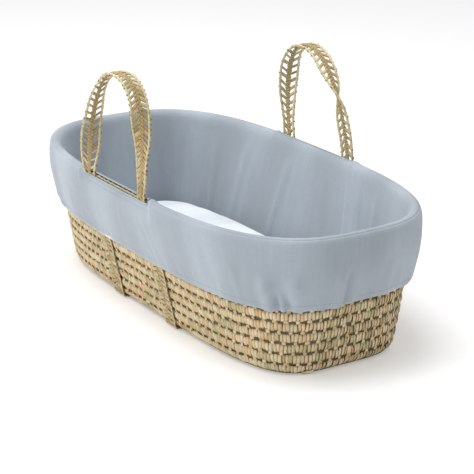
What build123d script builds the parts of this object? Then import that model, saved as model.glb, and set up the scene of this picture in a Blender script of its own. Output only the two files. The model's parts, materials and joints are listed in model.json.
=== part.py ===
"""Moses basket: a sewn palm-leaf basket with two carry straps, a padded cotton liner and a mattress.

Millimetres. +Z is up, +X points to the foot end, and the origin is on the floor under the middle of the
basket. The left side is the -Y side.
"""
from build123d import *
from math import cos, pi, radians, sin
import os

# ---- driving dimensions -------------------------------------------------------------------------
# plan outlines of the middle of the palm wall, at the floor and at the rim
BASE_HALF_LENGTH = 375.0
BASE_HALF_WIDTH = 149.5
BASE_SQUARENESS = 4.2
RIM_HALF_LENGTH = 410.0
RIM_HALF_WIDTH = 205.0
RIM_SQUARENESS = 3.0
RIM_HEIGHT = 240.0
OUTLINE_POINTS = 40

# palm plait
WALL_THICKNESS = 6.0
BASE_UNDERSIDE = 2.0
BASE_THICKNESS = 6.0
WALL_COURSES = 12
RIM_CORD_SIZE = 8.0
COURSE_HEIGHT = (RIM_HEIGHT - RIM_CORD_SIZE - BASE_UNDERSIDE) / WALL_COURSES
BASE_TURNS = 7
PLAIT_GAP = 0.2

# carry straps: each runs down one wall, under the base and up the other wall
STRAP_WIDTH = 36.0
STRAP_THICKNESS = 4.0
STRAP_X = {"head": -103.0, "foot": 80.0}
STRAP_TOP = 238.6
STRAP_CLEARANCE = 0.25

# handles: the free loops above the rim
HINGE_Y = 210.0
HINGE_Z = 243.0
EDGE_CORD = 5.0
PLAIT_WIDTH = 10.0
PLAIT_THICKNESS = 4.0
RUNG_WIDTH = 3.0
RUNG_THICKNESS = 2.5
RUNG_GAP = 0.7
TWIST_START = 6.0
TWIST_END = 115.0
LOOP_SECTIONS = 28
# side sign, loop rise, sideways lean of the top, roundness of the arch, total twist in degrees
LOOPS = {"left": (-1, 196.0, 30.0, 2.6, 180.0), "right": (1, 182.0, -36.0, 2.2, 0.0)}

# liner
LINER_FLOOR_THICKNESS = 2.0
WADDING_THICKNESS = 3.2
FACE_CLOTH = 1.4
FOLD_TOP = 244.0
FOLD_BOTTOM = 232.4
FOLD_OUTER = 12.0
SKIRT_THICKNESS = 2.4
SKIRT_PROFILE = [(127.2, 11.2), (160.0, 14.0), (205.0, 16.0), (232.2, 12.0)]
HEM_BOTTOM = 119.0
HEM_TOP = 127.0
HEM_INNER = 8.2
HEM_OUTER = 11.0
SLOT_START = -124.0
SLOT_END = 101.0
BINDING_HEIGHT = 3.8

# mattress
MATTRESS_HALF_LENGTH = 363.0
MATTRESS_HALF_WIDTH = 140.0
MATTRESS_SQUARENESS = 4.2
MATTRESS_BOTTOM = 10.6
MATTRESS_TOP = 72.0
SHEET_THICKNESS = 0.8
SHEET_RETURN = 45.0
COVER_THICKNESS = 1.6
ELASTIC_SIZE = 4.0


# ---- outlines -------------------------------------------------------------------------------------
def blend(low, high, z):
    """Value at height z of a size that changes evenly from the floor to the rim."""
    return low + (high - low) * z / RIM_HEIGHT


def half_length(z):
    return blend(BASE_HALF_LENGTH, RIM_HALF_LENGTH, z)


def half_width(z):
    return blend(BASE_HALF_WIDTH, RIM_HALF_WIDTH, z)


def squareness(z):
    return blend(BASE_SQUARENESS, RIM_SQUARENESS, z)


def rounded(a, b, n, z):
    """Closed wire of a rounded oblong |x/a|^n + |y/b|^n = 1 at height z."""
    points = []
    for i in range(OUTLINE_POINTS):
        angle = 2 * pi * i / OUTLINE_POINTS
        c = cos(angle)
        s = sin(angle)
        x = a * abs(c) ** (2 / n) * (1 if c > 0 else -1)
        y = b * abs(s) ** (2 / n) * (1 if s > 0 else -1)
        points.append((x, y, z))
    return Wire([Edge.make_spline([Vector(*p) for p in points], periodic=True)])


def outline(z, offset):
    """Wire that follows the wall's middle at height z, moved outwards by offset."""
    return rounded(half_length(z) + offset, half_width(z) + offset, squareness(z), z)


def tub(levels):
    """Solid bounded by the outlines at a list of (height, offset)."""
    return Solid.make_loft([outline(z, offset) for z, offset in levels], ruled=True)


def ring(levels):
    """Wall between an outer and an inner surface, from a list of (height, outer offset, inner offset)."""
    outer = tub([(z, far) for z, far, near in levels])
    inner = tub([(z, near) for z, far, near in levels])
    return outer - inner


def even_levels(low, high, outer, inner, steps=4):
    """Levels for ring at even heights, so that a tall ring follows the curve of the wall."""
    return [(low + (high - low) * i / steps, outer, inner) for i in range(steps + 1)]


def slab(a, b, n, low, high):
    """Upright block with a rounded oblong plan."""
    return Solid.make_loft([rounded(a, b, n, low), rounded(a, b, n, high)], ruled=True)


def wall_outside(x, z):
    """Distance from the long axis to the palm wall's outer face, at x and height z."""
    n = squareness(z)
    a = half_length(z) + WALL_THICKNESS / 2
    b = half_width(z) + WALL_THICKNESS / 2
    return b * (1 - abs(x / a) ** n) ** (1 / n)


# ---- palm basket ----------------------------------------------------------------------------------
def strap_channels():
    """Shallow space under the base and the lowest course that the two carry straps lie in."""
    height = STRAP_THICKNESS + PLAIT_GAP
    width = STRAP_WIDTH + 2 * PLAIT_GAP
    size = 2 * BASE_HALF_WIDTH + 100
    boxes = [Pos(x, 0, height / 2) * Box(width, size, height) for x in STRAP_X.values()]
    return boxes[0] + boxes[1]


def base_plaits():
    """Flat turns of plait, one inside the next, around a middle strip."""
    parts = {}
    low = BASE_UNDERSIDE
    high = BASE_UNDERSIDE + BASE_THICKNESS
    edge = WALL_THICKNESS / 2 + 2 * PLAIT_GAP
    for turn in range(BASE_TURNS):
        outer = edge + turn * COURSE_HEIGHT
        inner = outer + COURSE_HEIGHT - PLAIT_GAP
        flat = slab(BASE_HALF_LENGTH - outer, BASE_HALF_WIDTH - outer, BASE_SQUARENESS, low, high)
        hole = slab(BASE_HALF_LENGTH - inner, BASE_HALF_WIDTH - inner, BASE_SQUARENESS, low, high)
        parts[f"base_turn_{turn + 1:02d}"] = flat - hole - strap_channels()
    left = edge + BASE_TURNS * COURSE_HEIGHT
    centre = slab(BASE_HALF_LENGTH - left, BASE_HALF_WIDTH - left, BASE_SQUARENESS, low, high)
    parts["base_centre_plait"] = centre - strap_channels()
    return parts


def wall_courses():
    """Turns of plait that stand on each other, sewn edge to edge."""
    parts = {}
    half = WALL_THICKNESS / 2
    for course in range(WALL_COURSES):
        low = BASE_UNDERSIDE + course * COURSE_HEIGHT
        high = low + COURSE_HEIGHT - PLAIT_GAP
        parts[f"wall_course_{course + 1:02d}"] = ring([(low, half, -half), (high, half, -half)])
    parts["wall_course_01"] = parts["wall_course_01"] - strap_channels()
    return parts


def rim_cord():
    """Cord of twisted leaf sewn along the top course."""
    half = RIM_CORD_SIZE / 2 - 1
    return ring([(RIM_HEIGHT - RIM_CORD_SIZE, half, -half), (RIM_HEIGHT, half, -half)])


def carry_strap(x):
    """U of woven band that holds the basket from below, flat on both walls and under the base."""
    widest_x = abs(x) - STRAP_WIDTH / 2
    foot = wall_outside(widest_x, STRAP_THICKNESS) + STRAP_CLEARANCE
    head = wall_outside(widest_x, STRAP_TOP) + STRAP_CLEARANCE
    lean = (head - foot) / (STRAP_TOP - STRAP_THICKNESS)
    toe = foot + STRAP_THICKNESS + lean
    side = [
        (foot + 1, 0),
        (toe, STRAP_THICKNESS + 1),
        (head + STRAP_THICKNESS, STRAP_TOP),
        (head, STRAP_TOP),
        (foot, STRAP_THICKNESS),
    ]
    other = [(-y, z) for y, z in reversed(side)]
    face = Plane.YZ * make_face(Polyline(*side, *other, close=True))
    return Pos(x - STRAP_WIDTH / 2, 0, 0) * extrude(face, STRAP_WIDTH)


# ---- handles --------------------------------------------------------------------------------------
def loop_stations(side):
    """Places along a handle: centre, direction across the band and direction through it."""
    sign, rise, lean, roundness, turned = LOOPS[side]
    middle = (STRAP_X["head"] + STRAP_X["foot"]) / 2
    half = (STRAP_X["foot"] - STRAP_X["head"]) / 2
    centres = []
    for i in range(LOOP_SECTIONS + 1):
        angle = pi * i / LOOP_SECTIONS
        along = abs(cos(angle)) ** (2 / roundness) * (1 if angle < pi / 2 else -1)
        up = abs(sin(angle)) ** (2 / roundness) if 0 < i < LOOP_SECTIONS else 0.0
        centres.append(Vector(middle - half * along + lean * sin(angle), sign * HINGE_Y, HINGE_Z + rise * up))
    stations = []
    for i, centre in enumerate(centres):
        before = centres[max(i - 1, 0)]
        after = centres[min(i + 1, LOOP_SECTIONS)]
        tangent = (after - before).normalized()
        if i in (0, LOOP_SECTIONS):
            tangent = Vector(0, 0, 1 if i == 0 else -1)
        flat = Vector(tangent.Z, 0, -tangent.X)
        first_half = i <= LOOP_SECTIONS / 2
        foot = centres[0] if first_half else centres[-1]
        reach = ((centre - foot).length - TWIST_START) / (TWIST_END - TWIST_START)
        reach = min(max(reach, 0.0), 1.0)
        quarter = 90 * reach * reach * (3 - 2 * reach)
        if not first_half:
            quarter = abs(turned - quarter)
        twist = radians(quarter)
        across = flat * cos(twist) + Vector(0, 1, 0) * sin(twist)
        through = Vector(0, 1, 0) * cos(twist) - flat * sin(twist)
        stations.append((centre, across, through))
    return stations


def band(stations, place, width, thickness):
    """Strip that runs along the handle at a distance across it."""
    sections = []
    for centre, across, through in stations:
        corners = []
        for u, v in ((-1, -1), (1, -1), (1, 1), (-1, 1)):
            corners.append(centre + across * (place + u * width / 2) + through * (v * thickness / 2))
        sections.append(Wire.make_polygon(corners, close=True))
    return Solid.make_loft(sections, ruled=True)


def rungs(stations):
    """Short leaves that tie the middle plait to the two edge cords."""
    start = PLAIT_WIDTH / 2 + RUNG_GAP
    end = STRAP_WIDTH / 2 - EDGE_CORD - RUNG_GAP
    pieces = []
    for first, second in zip(stations[1:-2], stations[2:-1]):
        centre = (first[0] + second[0]) / 2
        across = (first[1] + second[1]).normalized()
        along = (second[0] - first[0]).normalized()
        through = across.cross(along).normalized()
        for side in (-1, 1):
            middle = centre + across * (side * (start + end) / 2)
            plane = Plane(origin=middle, x_dir=across, z_dir=through)
            pieces.append(plane * Box(end - start, RUNG_WIDTH, RUNG_THICKNESS))
    return Compound(pieces)


def handle(side):
    """One carry handle: two edge cords, a middle plait and the rungs between them."""
    stations = loop_stations(side)
    reach = (STRAP_WIDTH - EDGE_CORD) / 2
    cords = [band(stations, place, EDGE_CORD, EDGE_CORD) for place in (-reach, reach)]
    return {
        f"{side}_handle_edge_cords": Compound(cords),
        f"{side}_handle_plait": band(stations, 0, PLAIT_WIDTH, PLAIT_THICKNESS),
        f"{side}_handle_rungs": rungs(stations),
    }


# ---- liner ----------------------------------------------------------------------------------------
LINER_BACK = -WALL_THICKNESS / 2 - 2 * PLAIT_GAP
WADDING_FRONT = LINER_BACK - WADDING_THICKNESS
FACE_BACK = WADDING_FRONT - PLAIT_GAP
FACE_FRONT = FACE_BACK - FACE_CLOTH
LINER_LOW = BASE_UNDERSIDE + BASE_THICKNESS + PLAIT_GAP


def slot_cut(side):
    """Space in the fold that a handle's two legs come up through, in front of the inner layer."""
    depth = 60.0
    height = 40.0
    inner = RIM_HALF_WIDTH + LINER_BACK
    x = (SLOT_START + SLOT_END) / 2
    y = side * (inner + depth / 2)
    return Pos(x, y, FOLD_BOTTOM + height / 2) * Box(SLOT_END - SLOT_START, depth, height)


def liner_fold():
    """Rolled top of the liner: an upside-down U over the rim, open at a slot on each long side."""
    hood = ring([(FOLD_BOTTOM, FOLD_OUTER, FACE_FRONT), (FOLD_TOP, FOLD_OUTER, FACE_FRONT)])
    space_top = RIM_HEIGHT + 2 * PLAIT_GAP
    outer = FOLD_OUTER - SKIRT_THICKNESS
    space = ring([(FOLD_BOTTOM, outer, LINER_BACK), (space_top, outer, LINER_BACK)])
    edges = [e for e in hood.edges() if e.center().Z > FOLD_TOP - 1]
    rolled = chamfer(edges, 2.5)
    return rolled - space - slot_cut(-1) - slot_cut(1)


def hem():
    """Turned hem at the bottom of the skirt, open on top where it is sewn to the skirt."""
    cloth = 0.8
    shell = ring([(HEM_BOTTOM, HEM_OUTER, HEM_INNER), (HEM_TOP, HEM_OUTER, HEM_INNER)])
    tunnel = ring([(HEM_BOTTOM + cloth, HEM_OUTER - cloth, HEM_INNER + cloth),
                   (HEM_TOP, HEM_OUTER - cloth, HEM_INNER + cloth)])
    return shell - tunnel


def hem_elastic():
    """Flat elastic that runs round inside the hem."""
    inset = 1.0
    outer = HEM_OUTER - inset
    inner = HEM_INNER + inset
    return ring([(HEM_BOTTOM + inset, outer, inner), (HEM_TOP - inset, outer, inner)])


def slot_binding(side):
    """Folded binding along the lower edge of a slot."""
    length = SLOT_END - SLOT_START - 2 * PLAIT_GAP
    outer = RIM_HALF_WIDTH + FOLD_OUTER - 1
    y = side * (outer - SKIRT_THICKNESS / 2)
    z = FOLD_BOTTOM + PLAIT_GAP + BINDING_HEIGHT / 2
    return Pos((SLOT_START + SLOT_END) / 2, y, z) * Box(length, SKIRT_THICKNESS, BINDING_HEIGHT)


def liner():
    """Every piece of the liner."""
    floor_top = LINER_LOW + LINER_FLOOR_THICKNESS
    floor = slab(BASE_HALF_LENGTH + FACE_FRONT - 0.5, BASE_HALF_WIDTH + FACE_FRONT - 0.5,
                 BASE_SQUARENESS, LINER_LOW, floor_top)
    top = FOLD_BOTTOM - PLAIT_GAP
    skirt_levels = [(z, far, far - SKIRT_THICKNESS) for z, far in SKIRT_PROFILE]
    return {
        "liner_floor": floor,
        "liner_wadding": ring(even_levels(LINER_LOW, top, LINER_BACK, WADDING_FRONT)),
        "liner_inner_wall": ring(even_levels(LINER_LOW, top, FACE_BACK, FACE_FRONT)),
        "liner_fold": liner_fold(),
        "liner_skirt": ring(skirt_levels),
        "skirt_hem": hem(),
        "hem_elastic": hem_elastic(),
        "left_slot_binding": slot_binding(-1),
        "right_slot_binding": slot_binding(1),
    }


# ---- mattress -------------------------------------------------------------------------------------
def mattress_block(inset):
    """The mattress outline, drawn in by inset on every face."""
    return slab(MATTRESS_HALF_LENGTH - inset, MATTRESS_HALF_WIDTH - inset, MATTRESS_SQUARENESS,
                MATTRESS_BOTTOM + inset, MATTRESS_TOP - inset)


def mattress():
    """Foam core, cover with an envelope opening, and a fitted sheet with its elastic."""
    cover_out = SHEET_THICKNESS + PLAIT_GAP
    cover_in = cover_out + COVER_THICKNESS
    low = MATTRESS_BOTTOM
    opening = Pos(MATTRESS_HALF_LENGTH - 60, 0, low + cover_in / 2) * Box(3, 180, 2 * cover_in)
    underside = slab(MATTRESS_HALF_LENGTH - SHEET_RETURN, MATTRESS_HALF_WIDTH - SHEET_RETURN,
                     MATTRESS_SQUARENESS, low - 1, low + cover_out - PLAIT_GAP)
    edge = SHEET_RETURN + PLAIT_GAP
    cord_out = slab(MATTRESS_HALF_LENGTH - edge, MATTRESS_HALF_WIDTH - edge, MATTRESS_SQUARENESS,
                    low, low + SHEET_THICKNESS)
    edge += ELASTIC_SIZE
    cord_in = slab(MATTRESS_HALF_LENGTH - edge, MATTRESS_HALF_WIDTH - edge, MATTRESS_SQUARENESS,
                   low, low + SHEET_THICKNESS)
    return {
        "mattress_core": mattress_block(cover_in + PLAIT_GAP),
        "mattress_cover": mattress_block(cover_out) - mattress_block(cover_in) - opening,
        "fitted_sheet": mattress_block(0) - mattress_block(SHEET_THICKNESS) - underside,
        "sheet_elastic": cord_out - cord_in,
    }


# ---- whole basket ---------------------------------------------------------------------------------
def basket():
    """All pieces by name."""
    parts = {}
    parts.update(base_plaits())
    parts.update(wall_courses())
    parts["rim_cord"] = rim_cord()
    for end, x in STRAP_X.items():
        parts[f"{end}_carry_strap"] = carry_strap(x)
    for side in LOOPS:
        parts.update(handle(side))
    parts.update(liner())
    parts.update(mattress())
    return parts


os.makedirs("parts", exist_ok=True)
for name, shape in basket().items():
    export_step(shape, f"parts/{name}.step")
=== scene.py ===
"""Moses basket: coiled palm plait, two woven carry straps, a cotton liner and a mattress.

Every length is in metres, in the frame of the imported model.
"""
from __future__ import annotations

import json
import logging
import math
import random
from collections.abc import Callable, Sequence
from dataclasses import dataclass, field
from enum import Enum

import bmesh
import bpy
import numpy as np
from mathutils import Matrix, Vector, noise


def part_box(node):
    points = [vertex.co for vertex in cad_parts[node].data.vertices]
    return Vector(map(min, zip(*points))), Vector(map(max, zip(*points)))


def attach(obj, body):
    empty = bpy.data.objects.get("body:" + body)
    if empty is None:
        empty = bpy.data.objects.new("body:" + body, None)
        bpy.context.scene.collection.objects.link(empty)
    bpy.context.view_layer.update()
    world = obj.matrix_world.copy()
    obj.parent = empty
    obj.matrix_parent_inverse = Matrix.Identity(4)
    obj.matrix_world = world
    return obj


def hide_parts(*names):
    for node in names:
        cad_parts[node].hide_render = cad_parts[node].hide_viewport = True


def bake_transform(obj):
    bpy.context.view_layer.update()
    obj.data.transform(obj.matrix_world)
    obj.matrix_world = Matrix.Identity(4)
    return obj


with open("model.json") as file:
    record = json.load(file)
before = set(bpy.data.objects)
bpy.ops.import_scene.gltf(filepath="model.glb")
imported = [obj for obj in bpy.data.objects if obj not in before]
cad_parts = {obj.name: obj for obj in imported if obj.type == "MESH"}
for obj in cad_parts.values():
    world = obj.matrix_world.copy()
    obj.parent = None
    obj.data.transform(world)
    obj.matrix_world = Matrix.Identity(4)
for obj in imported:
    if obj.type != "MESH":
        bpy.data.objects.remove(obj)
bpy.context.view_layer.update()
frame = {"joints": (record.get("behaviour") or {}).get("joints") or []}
SPARE = bpy.data.meshes.new("spare")
LOG = logging.getLogger("moses_basket")
MM = 0.001
STRAP_HALF = 2.3 * MM
Colour = tuple[float, float, float]
Points = np.ndarray


# ---- finishes --------------------------------------------------------------------------------------
def srgb(red: float, green: float, blue: float) -> Colour:
    """Linear colour of an 8-bit screen colour.

    Args:
        red, green, blue: screen values from 0 to 255.

    Returns:
        The linear colour.
    """
    def linear(value: float) -> float:
        """Linear value of one channel."""
        share = value / 255
        return share / 12.92 if share <= 0.04045 else ((share + 0.055) / 1.055) ** 2.4
    return linear(red), linear(green), linear(blue)


class Shade:
    """One procedural material under construction."""

    def __init__(self, name: str) -> None:
        """Starts the material of a finish.

        Args:
            name: the finish's name.
        """
        self.material = bpy.data.materials.new(f"{name}_finish")
        self.material.use_nodes = True
        self.tree = self.material.node_tree
        self.surface = self.tree.nodes["Principled BSDF"]

    def node(self, kind: str, feeds: dict | None = None, **settings: object) -> bpy.types.Node:
        """Adds a node.

        Args:
            kind: the node's type.
            feeds: input socket, by name or number, to a value or another node's output.
            settings: the node's own properties.

        Returns:
            The node.
        """
        made = self.tree.nodes.new(kind)
        for key, value in settings.items():
            setattr(made, key, value)
        for key, value in (feeds or {}).items():
            self.feed(made, key, value)
        return made

    def feed(self, node: bpy.types.Node, key: str | int, value: object) -> None:
        """Links an output to an input socket, or sets the socket's own value.

        Args:
            node: the node.
            key: its input socket, by name or number.
            value: another node's output, a number or a colour.
        """
        if isinstance(value, bpy.types.NodeSocket):
            self.tree.links.new(value, node.inputs[key])
        elif isinstance(value, tuple) and len(value) == 3 and len(node.inputs[key].default_value) == 4:
            node.inputs[key].default_value = (*value, 1.0)
        else:
            node.inputs[key].default_value = value

    def finish(self, **values: object) -> bpy.types.Material:
        """Feeds the surface, with underscores standing for spaces, and returns the material.

        Args:
            values: the surface's inputs.

        Returns:
            The finished material.
        """
        for key, value in values.items():
            self.feed(self.surface, key.replace("_", " "), value)
        return self.material

    def place(self, scale: Sequence[float], source: str = "UV") -> bpy.types.NodeSocket:
        """Pattern coordinates, stretched by scale, from the UV map or the Object space."""
        coordinates = self.node("ShaderNodeTexCoord").outputs[source]
        return self.node("ShaderNodeMapping", {"Vector": coordinates, "Scale": scale}).outputs[0]

    def noise(self, where: bpy.types.NodeSocket, scale: float, detail: float = 3.0) -> bpy.types.NodeSocket:
        """Soft random values around 0.5."""
        feeds = {"Vector": where, "Scale": scale, "Detail": detail}
        return self.node("ShaderNodeTexNoise", feeds).outputs["Fac"]

    def attribute(self, name: str) -> bpy.types.NodeSocket:
        """A value painted on the mesh."""
        return self.node("ShaderNodeAttribute", attribute_name=name).outputs["Fac"]

    def ramp(self, value: bpy.types.NodeSocket,
             stops: Sequence[tuple[float, Colour]]) -> bpy.types.NodeSocket:
        """Colour along a list of (position, colour).

        Args:
            value: position along the ramp, from 0 to 1.
            stops: positions and colours, in order.

        Returns:
            The colour.
        """
        made = self.node("ShaderNodeValToRGB", {"Fac": value})
        elements = made.color_ramp.elements
        for element, (position, colour) in zip((elements[0], elements[1]), (stops[0], stops[-1])):
            element.position = position
            element.color = (*colour, 1.0)
        for position, colour in stops[1:-1]:
            elements.new(position).color = (*colour, 1.0)
        return made.outputs["Color"]

    def spread(self, value: bpy.types.NodeSocket, low: float, high: float,
               start: float = 0.0, end: float = 1.0) -> bpy.types.NodeSocket:
        """Value moved from the range start..end to the range low..high."""
        feeds = {"Value": value, "From Min": start, "From Max": end, "To Min": low, "To Max": high}
        return self.node("ShaderNodeMapRange", feeds).outputs["Result"]

    def mix(self, share: object, first: object, second: object, way: str = "MIX") -> bpy.types.NodeSocket:
        """Two colours mixed by share."""
        feeds = {0: share, 6: first, 7: second}
        return self.node("ShaderNodeMix", feeds, data_type="RGBA", blend_type=way).outputs[2]

    def sums(self, way: str, first: object, second: object) -> bpy.types.NodeSocket:
        """Arithmetic on two values."""
        return self.node("ShaderNodeMath", {0: first, 1: second}, operation=way).outputs[0]

    def bump(self, height: bpy.types.NodeSocket, depth: float, strength: float,
             normal: bpy.types.NodeSocket | None = None) -> bpy.types.NodeSocket:
        """Normal of a surface raised by height, depth metres at most.

        Args:
            height: the pattern, from 0 to 1.
            depth: height of the pattern in metres.
            strength: share of the effect.
            normal: a coarser bump that this one lies on.

        Returns:
            The normal.
        """
        feeds = {"Height": height, "Distance": depth, "Strength": strength}
        if normal is not None:
            feeds["Normal"] = normal
        return self.node("ShaderNodeBump", feeds).outputs["Normal"]


@dataclass(frozen=True)
class PalmFinish:
    """Dried palm leaf: straw colours that differ leaf by leaf, veins along each leaf and darker edges."""
    name: str
    darkness: float = 1.0
    veins: float = 16.0
    edged: bool = True
    tones: tuple[Colour, ...] = (
        srgb(168, 144, 100), srgb(186, 176, 132), srgb(206, 186, 142), srgb(218, 200, 160),
        srgb(230, 214, 178), srgb(214, 174, 124), srgb(222, 212, 178))

    def make(self) -> bpy.types.Material:
        """Builds the material; it reads the leaf number in "tone" and the leaf's own UV map.

        Returns:
            The material.
        """
        shade = Shade(self.name)
        step = 1 / (len(self.tones) - 1)
        stops = [(number * step, colour) for number, colour in enumerate(self.tones)]
        leaf = shade.ramp(shade.attribute("tone"), stops)
        vein = shade.noise(shade.place((self.veins, 1.4, 1.0)), 1.2, 5.0)
        blotch = shade.noise(shade.place((1, 1, 1), "Object"), 55.0, 4.0)
        veined = shade.mix(shade.spread(vein, 0.7, 0.0, 0.3, 0.5), leaf, srgb(132, 104, 62))
        patched = shade.mix(shade.spread(blotch, 0.0, 0.4, 0.5, 0.72), veined, srgb(204, 156, 102))
        worn = shade.noise(shade.place((1, 1, 1), "Object"), 11.0, 3.0)
        aged = shade.mix(shade.spread(worn, 0.0, 0.4, 0.5, 0.78), patched, srgb(156, 150, 108))
        if self.edged:
            aged = shade.mix(self.edges(shade), aged, srgb(96, 72, 40))
        # The darkness multiplies the colour: for the core it is painted shade, for the band it only darkens the
        # rungs' colour.
        dark = shade.mix(1.0, aged, (self.darkness,) * 3, "MULTIPLY")
        raised = shade.bump(vein, 0.7 * MM, 0.7)
        rough = shade.spread(blotch, 0.42, 0.7)
        return shade.finish(Base_Color=dark, Roughness=rough, Normal=raised, Specular_IOR_Level=0.35)

    def edges(self, shade: Shade) -> bpy.types.NodeSocket:
        """How far a point is towards its leaf's edges, from 0 to 1.

        Args:
            shade: the material under construction.

        Returns:
            The share.
        """
        parts = shade.node("ShaderNodeSeparateXYZ", {0: shade.place((1, 1, 1))})
        sides = []
        for axis, start, high in (("X", 0.41, 0.7), ("Y", 0.44, 0.8)):
            gap = shade.sums("ABSOLUTE", shade.sums("SUBTRACT", parts.outputs[axis], 0.5), 0.0)
            sides.append(shade.spread(gap, 0.0, high, start, 0.5))
        return shade.sums("MAXIMUM", sides[0], sides[1])


@dataclass(frozen=True)
class ClothFinish:
    """Plain woven cotton, with threads, painted shade between them, slubs, soft streaks down the cloth and a little
    sheen.
    """
    name: str
    colour: Colour
    pitch: float = 0.9 * MM
    crinkle: float = 0.4
    sheen: float = 0.3
    source: str = "UV"

    def tone(self, share: float) -> Colour:
        """The colour made paler or darker."""
        return tuple(min(1.0, share * channel) for channel in self.colour)

    def make(self) -> bpy.types.Material:
        """Builds the material; its coordinates are in metres along and across the cloth.

        Returns:
            The material.
        """
        shade = Shade(self.name)
        count = 1 / self.pitch
        threads = []
        for along in ((count, 4.0, 1.0), (4.0, count, 1.0)):
            feeds = {"Vector": shade.place(along, self.source), "Scale": 0.5, "Distortion": 0.6,
                     "Detail": 1.0}
            threads.append(shade.node("ShaderNodeTexWave", feeds).outputs["Fac"])
        weave = shade.sums("MAXIMUM", threads[0], threads[1])
        slub = shade.noise(shade.place((60.0, 420.0, 1.0), self.source), 1.0, 3.0)
        streak = shade.noise(shade.place((170.0, 9.0, 9.0), self.source), 1.0, 3.0)
        crinkle = shade.noise(shade.place((1.0, 1.0, 1.0), self.source), 150.0, 5.0)
        mottle = shade.noise(shade.place((1, 1, 1), "Object"), 14.0, 4.0)
        base = shade.mix(shade.spread(mottle, 0.0, 1.0, 0.25, 0.75), self.tone(0.92), self.tone(1.07))
        toned = shade.mix(shade.spread(slub, 0.0, 0.4, 0.3, 0.8), base, self.tone(0.84))
        streaked = shade.mix(shade.spread(streak, 0.0, 0.55, 0.35, 0.7), toned, self.tone(0.88))
        # Painted shade: the gaps between the threads are darkened to 0.66 of the colour.
        gap = shade.mix(shade.spread(weave, 0.3, 0.0, 0.3, 0.9), streaked, self.tone(0.66))
        soft = shade.bump(crinkle, 1.0 * MM, self.crinkle)
        ribbed = shade.bump(streak, 1.2 * MM, 0.35, soft)
        fine = shade.bump(weave, 0.25 * MM, 0.6, ribbed)
        return shade.finish(Base_Color=gap, Roughness=0.88, Normal=fine, Specular_IOR_Level=0.18,
                            Sheen_Weight=self.sheen, Sheen_Roughness=0.5)


@dataclass(frozen=True)
class StudioFinish:
    """Matte paper for the floor, with a painted glow."""
    name: str
    colour: Colour
    painted_glow: float

    def make(self) -> bpy.types.Material:
        """Builds the material with a very faint grain and a painted glow in place of a lit table under it.

        Returns:
            The material.
        """
        shade = Shade(self.name)
        grain = shade.noise(shade.place((1, 1, 1), "Object"), 6.0, 2.0)
        tone = shade.mix(grain, tuple(0.99 * c for c in self.colour), self.colour)
        # Painted light: the floor glows, so it reads white and its shadow stays pale.
        return shade.finish(Base_Color=tone, Roughness=0.9, Specular_IOR_Level=0.1,
                            Emission_Strength=self.painted_glow)


class Finish(Enum):
    """The basket's finishes, by material slot."""
    LEAF = PalmFinish("palm_leaf")
    # Painted shade: the core is palm darkened to 0.16, standing in for the shadow seen through the slots between
    # rows.
    CORE = PalmFinish("palm_core", darkness=0.16, edged=False)
    CORD = PalmFinish("palm_cord", veins=7.0, edged=False, tones=(
        srgb(172, 164, 120), srgb(192, 182, 138), srgb(210, 200, 158), srgb(220, 208, 168)))
    BAND = PalmFinish("palm_band", darkness=0.82)
    STRAND = PalmFinish("palm_strand", edged=False, tones=(
        srgb(160, 126, 84), srgb(190, 148, 98), srgb(176, 160, 112), srgb(198, 170, 122)))
    LINER = ClothFinish("liner_cotton", srgb(167, 176, 185))
    BINDING = ClothFinish("liner_binding", srgb(164, 173, 184), crinkle=0.2)
    THREAD = ClothFinish("liner_thread", srgb(146, 156, 168), pitch=0.5 * MM)
    WADDING = ClothFinish("wadding", srgb(224, 224, 220), pitch=2.5 * MM, crinkle=0.8)
    SHEET = ClothFinish("sheet_jersey", srgb(234, 240, 246), pitch=1.2 * MM, crinkle=0.12, sheen=0.15,
                        source="Object")
    TICKING = ClothFinish("mattress_ticking", srgb(226, 224, 214), crinkle=0.2, source="Object")
    WEBBING = ClothFinish("elastic", srgb(222, 222, 216), pitch=1.5 * MM)

    def material(self) -> bpy.types.Material:
        """The finish's material, made at its first use."""
        return bpy.data.materials.get(f"{self.value.name}_finish") or self.value.make()


# ---- mesh helpers ----------------------------------------------------------------------------------
def wrapped_grid(columns: int, rows: int, shape: Callable[[Points, Points], Points],
                 flat: tuple[float, float] = (1.0, 1.0)) -> bmesh.types.BMesh:
    """A grid laid on a surface, with its meeting edges joined.

    Args:
        columns, rows: number of faces each way.
        shape: places arrays of u and v, each from 0 to 1, as an array of points.
        flat: real length of the grid each way, which scales its UV map.

    Returns:
        The new bmesh.
    """
    bm = bmesh.new()
    layer = bm.loops.layers.uv.new("UVMap")
    bmesh.ops.create_grid(bm, x_segments=columns, y_segments=rows, size=0.5)
    grid = np.array([vert.co[:2] for vert in bm.verts]) + 0.5
    for face in bm.faces:
        for loop in face.loops:
            x, y = loop.vert.co[:2]
            loop[layer].uv = ((x + 0.5) * flat[0], (y + 0.5) * flat[1])
    for vert, place in zip(bm.verts, shape(grid[:, 0], grid[:, 1])):
        vert.co = place
    bmesh.ops.remove_doubles(bm, verts=bm.verts, dist=0.01 * MM)
    return bm


def face_out(bm: bmesh.types.BMesh) -> None:
    """Turns the faces of a closed shape outwards."""
    bmesh.ops.recalc_face_normals(bm, faces=bm.faces)


def face_towards(bm: bmesh.types.BMesh, heading: float) -> None:
    """Turns an open sheet over if its heading, along the way it must face, is below 0."""
    if heading < 0:
        bmesh.ops.reverse_faces(bm, faces=bm.faces)


def close_ends(bm: bmesh.types.BMesh) -> None:
    """Fills open ends and turns the faces outwards.

    Args:
        bm: the mesh.
    """
    rims = [edge for edge in bm.edges if edge.is_boundary]
    if rims:
        bmesh.ops.holes_fill(bm, edges=rims)
    face_out(bm)


def toned_bmesh() -> bmesh.types.BMesh:
    """An empty bmesh whose points hold a tone.

    Returns:
        The new bmesh.
    """
    bm = bmesh.new()
    bm.verts.layers.float.new("tone")
    return bm


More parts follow.
